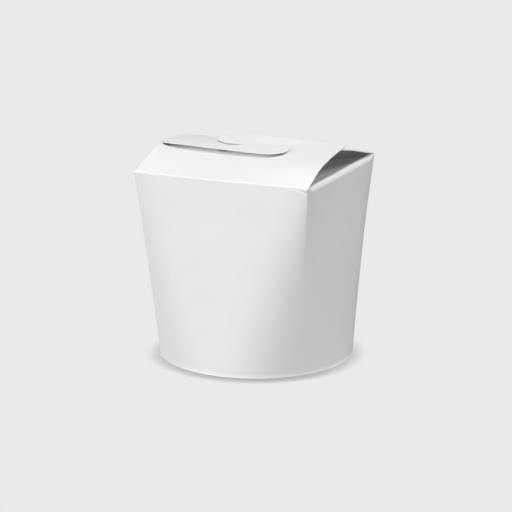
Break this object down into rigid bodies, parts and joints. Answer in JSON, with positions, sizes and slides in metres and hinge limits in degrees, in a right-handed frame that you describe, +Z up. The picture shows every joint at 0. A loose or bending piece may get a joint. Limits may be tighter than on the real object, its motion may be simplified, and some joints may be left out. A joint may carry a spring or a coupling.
{
  "type": "noodle takeaway box",
  "caption": "Closed takeaway box of plain white card, with a round base, an oblong top and arched flaps locked by hooked tabs.",
  "frame": {"origin": "centre of the round foot, on the surface the box stands on", "axes": "+Z up, +X to the right side wall, -Y to the front wall, whose flap lies highest"},
  "size_m": [0.1004, 0.1004, 0.1114],
  "materials": {
    "white_card": "smooth white coated paperboard, low sheen"
  },
  "bodies": {
    "root": {"carton_body": "white_card", "front_flap": "white_card", "back_flap": "white_card", "base_panel": "white_card"}
  },
  "joints": []
}
